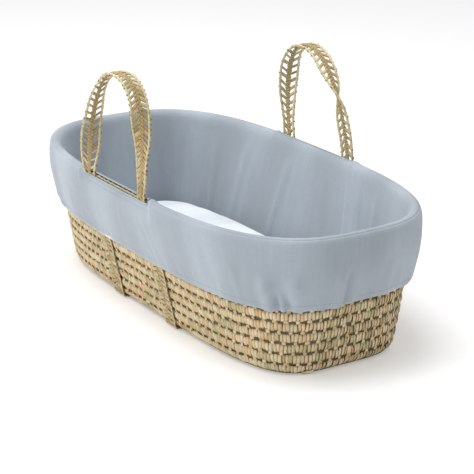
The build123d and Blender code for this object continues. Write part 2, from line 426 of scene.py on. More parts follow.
def stamp(bm: bmesh.types.BMesh, part: bmesh.types.BMesh, *moves: Matrix) -> None:
    """Moves part by each matrix in turn, adds it to bm by way of the spare mesh, and frees it.

    Args:
        bm: the mesh that grows.
        part: the part.
        moves: where it goes.
    """
    for move in moves:
        part.transform(move)
    part.to_mesh(SPARE)
    bm.from_mesh(SPARE)
    part.free()


def turned(degrees: float, axis: str) -> Matrix:
    """A turn about an axis through the origin."""
    return Matrix.Rotation(math.radians(degrees), 4, axis)


def tint(bm: bmesh.types.BMesh, tone: float) -> None:
    """Paints one tone on every point.

    Args:
        bm: the mesh.
        tone: a share from 0 to 1 of the finish's tones.
    """
    layer = bm.verts.layers.float.get("tone") or bm.verts.layers.float.new("tone")
    for vert in bm.verts:
        vert[layer] = tone


def rewrap(bm: bmesh.types.BMesh, shape: Callable[[Points], Points]) -> None:
    """Moves every point of an unrolled mesh to its place.

    Args:
        bm: the mesh.
        shape: places an array of its points.
    """
    flat = np.array([vert.co[:] for vert in bm.verts])
    for vert, place in zip(bm.verts, shape(flat)):
        vert.co = place


def linked(name: str, data: bpy.types.ID) -> bpy.types.Object:
    """A new object in the scene.

    Args:
        name: the object's name.
        data: its mesh, light or camera.

    Returns:
        The new object.
    """
    made = bpy.data.objects.new(name, data)
    bpy.context.scene.collection.objects.link(made)
    return made


def as_mesh(name: str, bm: bmesh.types.BMesh) -> bpy.types.Mesh:
    """A new mesh from a bmesh, which is freed.

    Args:
        name: the mesh's name.
        bm: the bmesh.

    Returns:
        The new mesh.
    """
    mesh = bpy.data.meshes.new(name)
    bm.to_mesh(mesh)
    bm.free()
    return mesh


def as_piece(name: str, bm: bmesh.types.BMesh, finish: Finish, body: str, nodes: Sequence[str] = (),
             ride: bool = True) -> bpy.types.Object:
    """Turns a bmesh into a finished piece of the object.

    Args:
        name: the piece's name.
        bm: its mesh, in place; it is freed.
        finish: its finish.
        body: the body that it rides on.
        nodes: the CAD nodes that it stands for.

    Returns:
        The new object.
    """
    mesh = as_mesh(name, bm)
    mesh.shade_smooth()
    made = linked(name, mesh)
    mesh.materials.append(finish.material())
    if ride:
        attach(made, body)
    if nodes:
        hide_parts(*nodes)
    LOG.info("%s: %d faces", name, len(mesh.polygons))
    return made


def thicken(piece: bpy.types.Object, thickness: float) -> None:
    """Gives a sheet its thickness, inwards.

    Args:
        piece: the sheet.
        thickness: its thickness.
    """
    thick = piece.modifiers.new("thickness", "SOLIDIFY")
    thick.thickness = thickness
    thick.offset = -1


def smoothstep(value: Points) -> Points:
    """Eases values from 0 to 1."""
    share = np.clip(value, 0.0, 1.0)
    return share * share * (3 - 2 * share)


def distances(track: Points) -> Points:
    """Distance along a track at each of its points."""
    return np.concatenate([[0.0], np.cumsum(np.linalg.norm(np.diff(track, axis=0), axis=1))])


def along_track(at: Points, far: Points, track: Points) -> Points:
    """Points of a track at distances along it."""
    return np.column_stack([np.interp(at, far, column) for column in track.T])


def smooth(track: Points, times: int) -> None:
    """Rounds a track's corners, with its ends held."""
    for _ in range(times):
        track[1:-1] = (track[:-2] + 2 * track[1:-1] + track[2:]) / 4


def unit(vectors: Points) -> Points:
    """Directions of an array of vectors."""
    return vectors / np.linalg.norm(vectors, axis=1)[:, None]


def bump_at(gap: Points, half: float) -> Points:
    """A smooth bump, 1 where gap is 0 and half width half."""
    return np.exp(-(gap / half) ** 2)


def signed_power(value: Points, power: Points) -> Points:
    """Power of a value's size, with the value's sign."""
    return np.sign(value) * np.abs(value) ** power


def oblong(angle: Points, half_length: Points, half_width: Points,
           squareness: Points) -> tuple[Points, Points]:
    """X and Y of a rounded oblong, at angles from its foot end."""
    power = 2 / squareness
    return half_length * signed_power(np.cos(angle), power), half_width * signed_power(np.sin(angle), power)


def round_corners(v: Points, *columns: Sequence[float]) -> tuple[Points, ...]:
    """Each column's value at shares v of the way round a section's corners."""
    last = len(columns[0]) - 1
    return tuple(np.interp(v * last, range(last + 1), column) for column in columns)


def strap_places() -> list[float]:
    """X of the middle of the head strap and the foot strap."""
    return [sum(side.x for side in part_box(f"{end}_carry_strap")) / 2 for end in ("head", "foot")]


# ---- the wall's surface ----------------------------------------------------------------------------
@dataclass
class Wall:
    """The middle surface of the palm wall, an oblong that widens towards the rim."""
    thickness: float = 6 * MM
    base_squareness: float = 4.2
    rim_squareness: float = 3.0
    samples: int = 2880
    low: Vector = field(default_factory=lambda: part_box("wall_course_01")[1])
    high: Vector = field(default_factory=lambda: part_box("wall_course_12")[1])
    rim_top: float = field(default_factory=lambda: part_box("rim_cord")[1].z)

    def sizes(self, z: Points) -> tuple[Points, Points, Points]:
        """Half length, half width and squareness at heights z.

        Args:
            z: heights.

        Returns:
            Half lengths, half widths and squareness.
        """
        share = (z - self.low.z) / (self.high.z - self.low.z)
        half = self.thickness / 2
        length = self.low.x + (self.high.x - self.low.x) * share - half
        width = self.low.y + (self.high.y - self.low.y) * share - half
        squareness = self.base_squareness + (self.rim_squareness - self.base_squareness) * z / self.rim_top
        return length, width, squareness

    def at(self, angle: Points, z: Points, out: Points) -> Points:
        """Points on the surface.

        Args:
            angle: position round the oblong, in radians from the foot end.
            z: height.
            out: distance outwards.

        Returns:
            An array of points.
        """
        angle, z, out = np.broadcast_arrays(np.asarray(angle, float), z, out)
        a, b, n = self.sizes(z)
        x, y = oblong(angle, a, b, n)
        power = 2 * (n - 1) / n
        nx = signed_power(np.cos(angle), power) / a
        ny = signed_power(np.sin(angle), power) / b
        size = np.hypot(nx, ny)
        return np.stack([x + out * nx / size, y + out * ny / size, z], axis=-1)

    def ruler(self, z: float, out: float = 0.0) -> tuple[Points, Points]:
        """Distances round the oblong at a height, and the angles that they belong to."""
        angle = np.linspace(0, 2 * np.pi, self.samples + 1)
        return distances(self.at(angle, z, out)), angle

    def side_y(self, x: float, z: Points, out: float) -> Points:
        """Distance of a side from the long axis at x."""
        a, b, n = self.sizes(z)
        return b * (1 - np.abs(x / a) ** n) ** (1 / n) + out


# ---- woven palm ------------------------------------------------------------------------------------
@dataclass
class LeafShape:
    """One flat leaf strip, seen from outside: width along X, height along Z, outwards along -Y."""
    width: float = 6.2 * MM
    height: float = 17.0 * MM
    crown: float = 0.45 * MM
    belly: float = 2.0 * MM
    thick: float = 0.6 * MM
    rows: int = 4

    def make(self) -> bmesh.types.BMesh:
        """Builds the strip, arched both ways, tucked in at its ends and closed.

        Returns:
            The new bmesh.
        """
        def arch(u: Points, v: Points) -> Points:
            """Places the grid of the leaf.

            Args:
                u, v: shares of the way across and along.

            Returns:
                The points.
            """
            across = (u - 0.5) * 2
            along = (v - 0.5) * 2
            taper = 1 - 0.1 * along ** 2
            out = self.crown * (1 - across ** 2) + self.belly * (1 - np.abs(along) ** 3.2)
            return np.stack([across * taper * self.width / 2, -out, along * self.height / 2], axis=-1)
        bm = wrapped_grid(2, self.rows, arch)
        face_out(bm)
        face_towards(bm, -sum((face.normal for face in bm.faces), Vector()).y)
        bmesh.ops.solidify(bm, geom=bm.faces[:], thickness=self.thick)
        face_out(bm)
        return bm


@dataclass
class PlaitWork:
    """Rows of folded leaf with a slot at each row's edge, made flat: X along, Z up, -Y outwards."""
    pitch: float = 18.4 * MM
    leaves: int = 3
    slot_height: float = 3.4 * MM
    stitch_width: float = 7.0 * MM
    stitch_height: float = 8.0 * MM
    seed: int = 7
    kinds: int = 5

    def __post_init__(self) -> None:
        """Starts the rows' own random draws."""
        self.draw = random.Random(self.seed)

    def row(self, length: float, height: float, shift: float, stitched: bool = True,
            skip: Callable[[float], bool] = lambda x: False) -> bmesh.types.BMesh:
        """One row of cells.

        Args:
            length: distance round the row.
            height: height of the row.
            shift: stagger of the cells, in cells.
            stitched: whether leaves cross the upper edge between its slots.
            skip: says which places along the row stay bare.

        Returns:
            The flat row.
        """
        draw = self.draw
        bm = toned_bmesh()
        count = max(6, round(length / self.pitch))
        cell = length / count
        tall = height - self.slot_height
        kinds = [LeafShape(width=cell / self.leaves * draw.uniform(1.0, 1.13),
                           height=tall * draw.uniform(0.94, 1.05),
                           belly=draw.uniform(1.6, 2.3) * MM).make() for _ in range(self.kinds)]
        bridge = LeafShape(width=self.stitch_width, height=self.stitch_height, belly=1.2 * MM, rows=3).make()
        for number in range(count):
            middle = (number + shift % 1) * cell
            fan = draw.uniform(-0.8, 1.4)
            spread = draw.uniform(0.9, 1.03)
            mood = draw.random()
            wedge = draw.choice((-1, 1)) * draw.uniform(0.4, 2.0) * MM
            for leaf in range(self.leaves):
                spot = (leaf + 0.5) / self.leaves - 0.5
                x = middle + spot * cell * spread + draw.uniform(-0.5, 0.5) * MM
                if skip(x):
                    continue
                part = draw.choice(kinds).copy()
                tint(part, min(1.0, max(0.0, 0.55 * mood + 0.45 * draw.random())))
                lean = turned(9 * fan * spot * 2 + draw.uniform(-4.5, 4.5), "Y")
                tilt = turned(draw.uniform(3, 13), "Z")
                lift = draw.uniform(0.0, 0.6) * MM
                rise = wedge * spot * 2 + draw.uniform(-0.7, 0.7) * MM
                stamp(bm, part, lean, tilt, Matrix.Translation((x, -lift, height / 2 + rise)))
            if stitched and not skip(middle + cell / 2):
                part = bridge.copy()
                tint(part, draw.random())
                lean = turned(draw.uniform(-14, 14), "Y")
                size = Matrix.Diagonal((draw.uniform(0.75, 1.25), 1.0, draw.uniform(0.85, 1.15), 1.0))
                lift = draw.uniform(-0.2, 0.3) * MM
                stamp(bm, part, lean, size, Matrix.Translation((middle + cell / 2, -lift, height)))
        for kind in [*kinds, bridge]:
            kind.free()
        return bm


@dataclass
class PalmBasket:
    """The palm wall, base and rim, sewn from turns of plait."""
    wall: Wall
    courses: int = 12
    turns: int = 7
    core_back: float = -2.8 * MM
    core_front: float = 0.5 * MM
    core_columns: int = 240
    stagger: float = 0.37
    drift: float = 0.13
    rim_lay: float = 17 * MM
    rim_columns: int = 1700
    strap_zone: float = 20 * MM
    channel: float = 2.7 * MM
    tuck: float = 6 * MM
    tuck_height: float = 15 * MM
    end_angle: float = 2 * math.pi - 0.23

    def dress(self) -> None:
        """Makes every palm piece of the basket except its straps."""
        for number in range(1, self.courses + 1):
            self.course(number)
        for number in range(1, self.turns + 1):
            self.turn(number)
        self.centre()
        self.rim()

    def tucked(self, z: Points) -> Points:
        """How far the lowest course turns in under the basket at heights z."""
        return self.tuck * np.clip(1 - (z - self.wall.low.z + 17 * MM) / self.tuck_height, 0, 1) ** 2

    def ring(self, low: float, high: float, back: float, front: float) -> bmesh.types.BMesh:
        """A plain closed ring of the wall between two heights.

        Args:
            low, high: the heights.
            back, front: distances outwards of its two faces.

        Returns:
            The ring.
        """
        def shape(u: Points, v: Points) -> Points:
            """Runs round the ring's four corners."""
            z, out = round_corners(v, [low, low, high, high, low], [back, front, front, back, back])
            return self.wall.at(2 * np.pi * u, z, out - self.tucked(z))
        bm = wrapped_grid(self.core_columns, 4, shape, (2.1, 0.04))
        close_ends(bm)
        tint(bm, 0.5)
        return bm

    def course(self, number: int) -> None:
        """One turn of the wall: a core with painted shade, dark as the shadow in the slots, with leaves folded over
        its outside.

        Args:
            number: the turn's number, from the floor.
        """
        node = f"wall_course_{number:02d}"
        low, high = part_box(node)[0].z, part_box(node)[1].z
        middle = (low + high) / 2
        far, angles = self.wall.ruler(middle, self.core_front)
        shift = self.stagger * number + self.drift * (number % 3)
        leaves = PlaitWork(seed=100 + number).row(far[-1], high - low, shift, number < self.courses)
        if number == 1:
            self.plait_end(leaves, float(np.interp(self.end_angle, angles, far)))
        rewrap(leaves, lambda flat: self.wall.at(
            np.interp(np.mod(flat[:, 0], far[-1]), far, angles), low + flat[:, 2],
            self.core_front - flat[:, 1] - self.tucked(low + flat[:, 2])))
        self.pair(node, leaves, self.ring(low, high, self.core_back, self.core_front))

    def plait_end(self, leaves: bmesh.types.BMesh, along: float) -> None:
        """Adds the tucked end of the plait, a small knot of leaves low on the first turn.

        Args:
            leaves: the first turn, made flat.
            along: where its plait ends.
        """
        for shift, lean, tone in ((-3, 62, 0.3), (2, 78, 0.7), (6, 50, 0.55)):
            part = LeafShape(width=6 * MM, height=13 * MM, crown=1.0 * MM, belly=3.4 * MM).make()
            tint(part, tone)
            place = Matrix.Translation((along + shift * MM, -1.6 * MM, 3.6 * MM))
            stamp(leaves, part, turned(lean, "Y"), place)

    def pair(self, node: str, leaves: bmesh.types.BMesh, core: bmesh.types.BMesh) -> None:
        """Makes the leaves the piece that stands for the node, and the core a second piece on the same body.

        Args:
            node: the CAD node.
            leaves: the leaves.
            core: the core.
        """
        front = as_piece(node.replace("wall_course", "plait_course").replace("base_turn", "plait_turn"),
                         leaves, Finish.LEAF, "basket", [node])
        # The core's finish is painted shade: dark palm that stands in for the shadow in the slots.
        back = as_piece(f"{front.name}_core", core, Finish.CORE, "basket")
        back.data.shade_flat()

    def flat_place(self, node: str) -> tuple[Callable[[Points], Points], float]:
        """Placing function and length for a flat turn of the base, seen from below.

        Args:
            node: the turn's CAD node.

        Returns:
            A function that places (along, down, across) points, and the turn's length.
        """
        low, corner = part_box(node)
        angle = np.linspace(0, 2 * np.pi, self.wall.samples + 1)

        def track(at: Points, inset: Points) -> Points:
            """Points of the turn's plan, drawn in by inset."""
            plan = oblong(at, corner.x - inset, corner.y - inset, self.wall.base_squareness)
            return np.stack(plan, axis=-1)
        far = distances(track(angle, self.turn_width() / 2))

        def place(flat: Points) -> Points:
            """Lays flat points on the underside."""
            at = np.interp(np.mod(flat[:, 0], far[-1]), far, angle)
            return np.column_stack([track(at, flat[:, 2]), low.z + self.channel + flat[:, 1]])
        return place, far[-1]

    def turn_width(self) -> float:
        """Width of one flat turn of the base."""
        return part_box("base_turn_01")[1].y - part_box("base_turn_02")[1].y

    def over_strap(self, x: float) -> bool:
        """Whether a place on the base's underside lies in a strap's channel."""
        return any(abs(x - strap) < self.strap_zone for strap in strap_places())

    def turn(self, number: int) -> None:
        """One flat turn of the base, with its leaves on the underside.

        Args:
            number: the turn's number, from the outside.
        """
        node = f"base_turn_{number:02d}"
        place, length = self.flat_place(node)
        width = self.turn_width()

        def bare(x: float) -> bool:
            """Whether a place along the turn stays bare for a strap."""
            return self.over_strap(place(np.array([[x, 0.0, width / 2]]))[0, 0])
        work = PlaitWork(seed=200 + number)
        leaves = work.row(length, width, self.stagger * number, number < self.turns, bare)
        rewrap(leaves, place)
        face_out(leaves)
        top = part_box(node)[1].z

        def slab(u: Points, v: Points) -> Points:
            """Runs round the turn's four corners.

            Args:
                u, v: shares of the way along and round.

            Returns:
                The points.
            """
            inset, z = round_corners(v, [0.0, width, width, 0.0, 0.0], [0.0, 0.0, 1.0, 1.0, 0.0])
            spot = place(np.column_stack([u * length, np.zeros_like(u), inset]))
            spot[:, 2] += z * (top - spot[:, 2])
            return spot
        core = wrapped_grid(self.core_columns // 2, 4, slab, (length, 0.04))
        close_ends(core)
        tint(core, 0.5)
        self.pair(node, leaves, core)

    def centre(self) -> None:
        """The straight plait in the middle of the base."""
        low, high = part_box("base_centre_plait")
        bm = bmesh.new()
        bm.loops.layers.uv.new("UVMap")
        bmesh.ops.create_cube(bm, size=1.0)
        size = high - low
        bmesh.ops.scale(bm, verts=bm.verts, vec=(size.x, size.y, size.z - self.channel))
        bmesh.ops.translate(bm, verts=bm.verts, vec=(high + low) / 2 + Vector((0, 0, self.channel / 2)))
        bmesh.ops.bevel(bm, geom=bm.edges, offset=1.2 * MM, segments=2, affect="EDGES", profile=0.5,
                        material=-1)
        tint(bm, 0.5)
        leaves = PlaitWork(seed=300).row(size.x, size.y, 0.5, False, lambda x: self.over_strap(low.x + x))
        rewrap(leaves, lambda flat: np.column_stack(
            [low.x + flat[:, 0], low.y + flat[:, 2], low.z + self.channel + flat[:, 1]]))
        face_out(leaves)
        piece = as_piece("plait_centre", leaves, Finish.LEAF, "basket", ["base_centre_plait"])
        # This core carries the same painted shade.
        as_piece(f"{piece.name}_core", bm, Finish.CORE, "basket")

    def rim(self) -> None:
        """The two-ply cord sewn along the top course."""
        low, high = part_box("rim_cord")
        radius = (high.z - low.z) / 2
        far, angles = self.wall.ruler(low.z + radius)
        lays = round(far[-1] / self.rim_lay)

        def shape(u: Points, v: Points) -> Points:
            """Places the cord's ridged skin.

            Args:
                u, v: shares of the way along and round.

            Returns:
                The points.
            """
            turn = 2 * np.pi * v
            ridge = np.abs(np.cos(turn + np.pi * lays * u))
            reach = radius * (0.6 + 0.4 * ridge)
            angle = np.interp(u * far[-1], far, angles)
            return self.wall.at(angle, low.z + radius + reach * np.sin(turn), 0.8 * reach * np.cos(turn))
        bm = wrapped_grid(self.rim_columns, 12, shape, (far[-1] * 20, 1.0))
        close_ends(bm)
        tint(bm, 0.72)
        as_piece("rim_twist", bm, Finish.CORD, "basket", ["rim_cord"])


# ---- straps and handles ----------------------------------------------------------------------------
@dataclass
class Route:
    """A band's route: centre, direction across it and direction through it, at even distances."""
    centre: Points
    across: Points
    through: Points

    def __post_init__(self) -> None:
        """Measures the route."""
        self.far = distances(self.centre)

    def place(self, along: Points, across: Points, through: Points) -> Points:
        """Points at distances along, across and through the band.

        Args:
            along, across, through: the distances.

        Returns:
            The points.
        """
        side, normal = (unit(along_track(along, self.far, table)) for table in (self.across, self.through))
        centre = along_track(along, self.far, self.centre)
        return centre + side * across[:, None] + normal * through[:, None]


def even_route(centre: Points, samples: int) -> tuple[Points, Points, Points]:
    """A rough track at even distances.

    Args:
        centre: the track's points.
        samples: number of even points.

    Returns:
        The distances, the points and the directions along the track.
    """
    far = distances(centre)
    even = np.linspace(0, far[-1], samples)
    centre = along_track(even, far, centre)
    return even, centre, unit(np.gradient(centre, axis=0))


@dataclass
class LadderBand:
    """Open woven band: two twisted edge cords, a three-strand middle plait and slanting rungs."""
    width: float = 36 * MM
    cord: float = 2.5 * MM
    lay: float = 9 * MM
    plait_half: float = 3.1 * MM
    plait_pitch: float = 19 * MM
    plait_lift: float = 0.9 * MM
    strand: float = 2.5 * MM
    strand_thick: float = 1.7 * MM
    rung_pitch: float = 13.8 * MM
    rung_width: float = 4.6 * MM
    rung_lift: float = 0.9 * MM
    slant: float = 0.62
    flatten: float = 1.0
    dense: float = 1.0
    dense_from: float = 0.55
    step: float = 1.6 * MM

    def make(self, route: Route, seed: int, narrow: Callable[[Points], Points] | None = None
             ) -> tuple[bmesh.types.BMesh, bmesh.types.BMesh, bmesh.types.BMesh]:
        """Builds the band along a route.

        Args:
            route: where the band runs.
            seed: its own random draws.
            narrow: share of the full width at each distance along.

        Returns:
            The edge cords, the middle plait and the rungs.
        """
        self.route = route
        self.draw = random.Random(seed)
        self.share = narrow or (lambda along: np.ones_like(along))
        return self.cords(), self.plait(), self.rungs()

    def lay_on(self, along: Points, across: Points, through: Points) -> Points:
        """Places points of the band, with its width narrowed."""
        return self.route.place(along, across * self.share(along), through * self.flatten)

    def tube(self, side: Callable[[Points], Points], lift: Callable[[Points], Points], wide: float,
             thick: float, plies: int, pitch: float) -> bmesh.types.BMesh:
        """A closed cord that follows the band.

        Args:
            side: distance across the band at each distance along.
            lift: distance through the band.
            wide, thick: half width and half thickness.
            plies: number of ridges round it.
            pitch: length of one turn of its twist.

        Returns:
            The cord.
        """
        length = self.route.far[-1]

        def shape(u: Points, v: Points) -> Points:
            """Places the cord's skin.

            Args:
                u, v: shares of the way along and round.

            Returns:
                The points.
            """
            along = u * length
            turn = 2 * np.pi * v
            ridge = 0.8 + 0.2 * np.abs(np.cos(plies / 2 * turn + np.pi * along / pitch))
            return self.lay_on(along, side(along) + wide * ridge * np.cos(turn),
                               lift(along) + thick * ridge * np.sin(turn))
        bm = wrapped_grid(round(length / self.step), 10, shape, (length * 30, 1.0))
        close_ends(bm)
        tint(bm, self.draw.uniform(0.45, 0.85))
        return bm

    def cords(self) -> bmesh.types.BMesh:
        """The two edge cords.

        Returns:
            Both cords.
        """
        reach = self.width / 2 - self.cord
        whole = toned_bmesh()
        for sign in (-1, 1):
            wave = self.draw.uniform(0, 6)
            part = self.tube(lambda s: sign * reach + 0.5 * MM * np.sin(s * 90 + wave),
                             lambda s: 0.3 * MM * np.sin(s * 70 + wave), self.cord, self.cord, 2, self.lay)
            stamp(whole, part)
        return whole

    def plait(self) -> bmesh.types.BMesh:
        """Three flat strands plaited over each other.

        Returns:
            The three strands.
        """
        whole = toned_bmesh()
        rate = 2 * np.pi / self.plait_pitch
        for strand in range(3):
            phase = 2 * np.pi * strand / 3
            part = self.tube(lambda s: self.plait_half * np.sin(rate * s + phase),
                             lambda s: self.plait_lift * np.sin(2 * (rate * s + phase)),
                             self.strand, self.strand_thick, 2, self.plait_pitch)
            stamp(whole, part)
        return whole

    def rungs(self) -> bmesh.types.BMesh:
        """Folded leaves from the middle plait round each edge cord.

        Returns:
            All the rungs.
        """
        draw = self.draw
        whole = toned_bmesh()
        inner = self.plait_half * 0.5
        outer = self.width / 2 - 0.4 * MM
        length = self.route.far[-1]
        thick_half = self.dense_from * length
        places = [0.4 * self.rung_pitch]
        while places[-1] < length - self.rung_pitch:
            places.append(places[-1] + self.rung_pitch * (self.dense if places[-1] > thick_half else 1.0))
        for place in places:
            for sign in (-1, 1):
                along = place + 0.25 * sign * self.rung_pitch + draw.uniform(-1.2, 1.2) * MM
                lean = self.slant * draw.uniform(0.75, 1.25)
                broad = 1.0 + (1 - self.dense) * (place > thick_half)
                leaf = LeafShape(width=self.rung_width * broad * draw.uniform(0.75, 1.35),
                                 height=(outer - inner) / math.cos(lean),
                                 crown=0.5 * MM, belly=1.6 * MM, thick=0.9 * MM).make()
                tint(leaf, draw.random())
                for face in (-1, 1):
                    about = [Matrix.Rotation(math.pi, 4, "Z")] * (face > 0)
                    stamp(whole, leaf.copy(), *about, Matrix.Translation((0, -face * self.rung_lift, 0)),
                          Matrix.Rotation(lean * sign, 4, "Y"),
                          Matrix.Translation((along, 0, sign * (inner + outer) / 2)))
                leaf.free()
        rewrap(whole, lambda flat: self.lay_on(np.clip(flat[:, 0], 0, length), flat[:, 2], -flat[:, 1]))
        face_out(whole)
        return whole


class Side(Enum):
    """The two long sides, with their sign along Y."""
    LEFT = -1
    RIGHT = 1


@dataclass
class CarryHandle:
    """One handle: a ladder band from the wall strap, through the liner's slot and over."""
    side: Side
    lean: float
    roundness: float
    turned: float
    twists: tuple[tuple[float, float], tuple[float, float]]
    narrow_share: float = 1.0
    pinches: tuple[float, float] = (0.0, 0.0)
    dense: float = 1.0
    cupped: float = 0.0
    tail: float = 26 * MM
    samples: int = 420
    smoothings: int = 6
    slot_pinch: float = 60 * MM
    bend_below: float = 5 * MM
    bend_above: float = 17 * MM

    def __post_init__(self) -> None:
        """Looks up the handle's body and hinge."""
        self.body = f"{self.side.name.lower()}_handle"
        joint = next(j for j in frame["joints"] if j["child"] == self.body)
        self.hinge = Vector(joint["pos_m"])

    def route(self, wall: Wall) -> Route:
        """Works the handle's route out from the straps, the hinge and the handle's own height.

        Args:
            wall: the palm wall.

        Returns:
            The route.
        """
        hinge = self.hinge
        head, foot = strap_places()
        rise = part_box(f"{self.body}_plait")[1].z - hinge.z - 2 * MM
        angle = np.linspace(0, np.pi, self.samples)
        over, up = oblong(angle, (foot - head) / 2, rise, self.roundness)
        x = (head + foot) / 2 - over
        arch = np.column_stack([x + self.lean * np.sin(angle), np.full_like(x, hinge.y), hinge.z + up])
        drop = np.linspace(self.tail, 1 * MM, 14)
        strap_out = wall.thickness / 2 + STRAP_HALF
        legs = []
        for place in (head, foot):
            z = hinge.z - drop
            y = self.side.value * wall.side_y(place, z, strap_out)
            legs.append(np.column_stack([np.full_like(z, place), y, z]))
        centre = np.concatenate([legs[0], arch, legs[1][::-1]])
        smooth(centre, self.smoothings)
        even, centre, tangent = even_route(centre, self.samples)
        length = even[-1]
        flat = unit(np.column_stack([tangent[:, 2], np.zeros(len(even)), -tangent[:, 0]]))
        first, second = (90 * smoothstep((reach - self.tail - start) / (end - start))
                         for reach, (start, end) in zip((even, length - even), self.twists))
        twist = np.radians(np.where(even < length / 2, first, np.abs(self.turned - second)))[:, None]
        out = np.array([[0.0, 1.0, 0.0]])
        across = flat * np.cos(twist) + out * np.sin(twist)
        through = out * np.cos(twist) - flat * np.sin(twist)
        return Route(centre, across, through)

    def dress(self, wall: Wall) -> None:
        """Makes the handle's three pieces, fixed in place, with the band turning from the wall into its arch at the
        rim.

        Args:
            wall: the palm wall.
        """
        route = self.route(wall)
        length = route.far[-1]

        def narrow(along: Points) -> Points:
            """Narrows the band where it comes through the slot and at its shoulder.

            Args:
                along: distances along the band.

            Returns:
                Shares of its full width.
            """
            pinch = 1 - self.pinches[0] * (1 - smoothstep((along - self.tail) / self.slot_pinch))
            pinch -= self.pinches[1] * (1 - smoothstep((length - along - self.tail) / self.slot_pinch))
            second = smoothstep((along - 0.5 * length) / (0.15 * length))
            shoulder = self.cupped * bump_at(along - 0.4 * length, 0.09 * length)
            return pinch * (1 + (self.narrow_share - 1) * second - shoulder)
        cords, plait, rungs = LadderBand(dense=self.dense).make(route, 40 + self.side.value, narrow)
        parts = (("edge_cords", cords, Finish.CORD), ("plait", plait, Finish.STRAND),
                 ("rungs", rungs, Finish.BAND))
        for part, bm, finish in parts:
            node = f"{self.body}_{part}"
            piece = as_piece(node.replace("handle", "loop"), bm, finish, self.body, [node],
                             ride=False)
            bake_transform(piece)


@dataclass
class CarryStrap:
    """The band that runs down one wall, under the base and up the other wall."""
    end: str
    corner: float = 7 * MM
    top_drop: float = 9 * MM
    samples: int = 700

    def route(self, wall: Wall) -> Route:
        """Follows the wall's outside and the underside of the base.

        Args:
            wall: the palm wall.

        Returns:
            The route.
        """
        low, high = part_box(f"{self.end}_carry_strap")
        x = (low.x + high.x) / 2
        z = np.linspace(high.z - self.top_drop, STRAP_HALF + self.corner, 60)
        y = wall.side_y(x, z, wall.thickness / 2 + STRAP_HALF)
        turn = np.linspace(0, np.pi / 2, 12)[1:]
        middle_y = y[-1] - self.corner
        bend = np.column_stack([middle_y + self.corner * np.cos(turn),
                                STRAP_HALF + self.corner - self.corner * np.sin(turn)])
        half_way = np.concatenate([np.column_stack([y, z]), bend])
        plan = np.concatenate([half_way * [-1, 1], half_way[::-1]])
        even, centre, tangent = even_route(np.column_stack([np.full(len(plan), x), plan]), self.samples)
        across = np.tile([1.0, 0.0, 0.0], (len(even), 1))
        return Route(centre, across, np.cross(across, tangent))

    def dress(self, wall: Wall) -> None:
        """Makes the strap's three pieces.

        Args:
            wall: the palm wall.
        """
        band = LadderBand(cord=1.8 * MM, flatten=0.75, plait_half=3.2 * MM, strand=2.8 * MM,
                          strand_thick=1.1 * MM, rung_pitch=9.4 * MM, rung_width=8.2 * MM, slant=0.22)
        cords, plait, rungs = band.make(self.route(wall), 60 + len(self.end) + ord(self.end[0]))
        strap = as_piece(f"{self.end}_strap_cords", cords, Finish.CORD, "basket",
                         [f"{self.end}_carry_strap"])
        as_piece(strap.name.replace("cords", "plait"), plait, Finish.STRAND, "basket")
        as_piece(strap.name.replace("cords", "rungs"), rungs, Finish.BAND, "basket")


